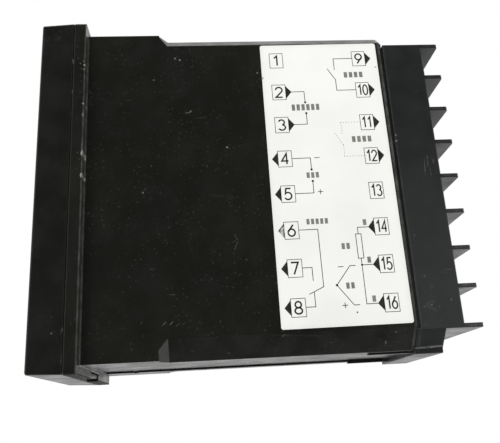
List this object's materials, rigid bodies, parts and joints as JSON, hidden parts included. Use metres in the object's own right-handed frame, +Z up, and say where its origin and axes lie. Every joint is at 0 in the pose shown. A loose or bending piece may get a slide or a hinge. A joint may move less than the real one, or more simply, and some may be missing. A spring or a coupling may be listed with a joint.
{
  "type": "pid temperature controller",
  "caption": "Upright panel-mount temperature controller: black case, drafted front frame, side wiring label and two rear columns of barriered screw terminals.",
  "frame": {"origin": "centre of the panel cut-out, in the plane of the flange's rear face, which seats on the panel's front", "axes": "+Z up; the front looks along -Y and the terminals face +Y, which is the depth; +X is the side with the wiring label"},
  "size_m": [0.048, 0.1134, 0.096],
  "materials": {
    "case_plastic": "moulded black plastic, half gloss, with dust and fine scuffs",
    "block_plastic": "moulded black plastic with a slight blue cast",
    "bezel_plastic": "fine-textured black plastic",
    "label_card": "white coated label with thin dark line diagrams",
    "tinned_brass": "tin-plated brass strip",
    "plated_steel": "zinc-plated steel",
    "sheet_film": "textured dark film",
    "window_acrylic": "dark red tinted acrylic",
    "board_laminate": "green solder mask on glass laminate",
    "display_body": "black display body with pale unlit segments",
    "lamp_lens": "red tinted lamp resin",
    "component_black": "black moulded component",
    "core_steel": "varnished steel laminations",
    "coil_tape": "yellow polyester tape",
    "relay_case": "blue relay case",
    "capacitor_sleeve": "dark heat-shrink sleeve with a bare top",
    "disc_blue": "blue epoxy",
    "crystal_can": "plain metal can",
    "key_rubber": "soft grey key",
    "plunger_plastic": "black plunger"
  },
  "bodies": {
    "case": {"case_shell": "case_plastic", "terminal_block": "block_plastic", "wiring_label": "label_card", "terminals": "tinned_brass", "screw_washers": "plated_steel", "terminal_screws": "plated_steel"},
    "chassis": {"bezel_frame": "bezel_plastic", "front_sheet": "sheet_film", "display_window": "window_acrylic", "display_board": "board_laminate", "board_screws": "plated_steel", "measured_value_display": "display_body", "set_value_display": "display_body", "indicator_lamps": "lamp_lens", "key_switches": "component_black", "power_board": "board_laminate", "control_board": "board_laminate", "board_headers": "component_black", "rear_brace": "block_plastic", "transformer_core": "core_steel", "transformer_coil": "coil_tape", "output_relay": "relay_case", "alarm_relays": "relay_case", "supply_capacitors": "capacitor_sleeve", "bridge_rectifier": "component_black", "surge_absorber": "disc_blue", "supply_fuse": "component_black", "controller_chip": "component_black", "converter_chip": "component_black", "memory_chip": "component_black", "opto_isolators": "component_black", "clock_crystal": "crystal_can", "calibration_trimmer": "disc_blue"},
    "key_set_body": {"key_set": "key_rubber", "plunger_set": "plunger_plastic"},
    "key_shift_body": {"key_shift": "key_rubber", "plunger_shift": "plunger_plastic"},
    "key_down_body": {"key_down": "key_rubber", "plunger_down": "plunger_plastic"},
    "key_up_body": {"key_up": "key_rubber", "plunger_up": "plunger_plastic"}
  },
  "joints": [
    {"name": "chassis_pull", "type": "slide", "parent": "case", "child": "chassis", "axis": [0, -1, 0], "range_m": [0, 0.0822]},
    {"name": "key_set_press", "type": "slide", "parent": "chassis", "child": "key_set_body", "axis": [0, 1, 0], "range_m": [0, 0.0005], "stiffness_N_per_m": 2500, "springref_m": -0.0002},
    {"name": "key_shift_press", "type": "slide", "parent": "chassis", "child": "key_shift_body", "axis": [0, 1, 0], "range_m": [0, 0.0005], "stiffness_N_per_m": 2500, "springref_m": -0.0002},
    {"name": "key_down_press", "type": "slide", "parent": "chassis", "child": "key_down_body", "axis": [0, 1, 0], "range_m": [0, 0.0005], "stiffness_N_per_m": 2500, "springref_m": -0.0002},
    {"name": "key_up_press", "type": "slide", "parent": "chassis", "child": "key_up_body", "axis": [0, 1, 0], "range_m": [0, 0.0005], "stiffness_N_per_m": 2500, "springref_m": -0.0002}
  ]
}
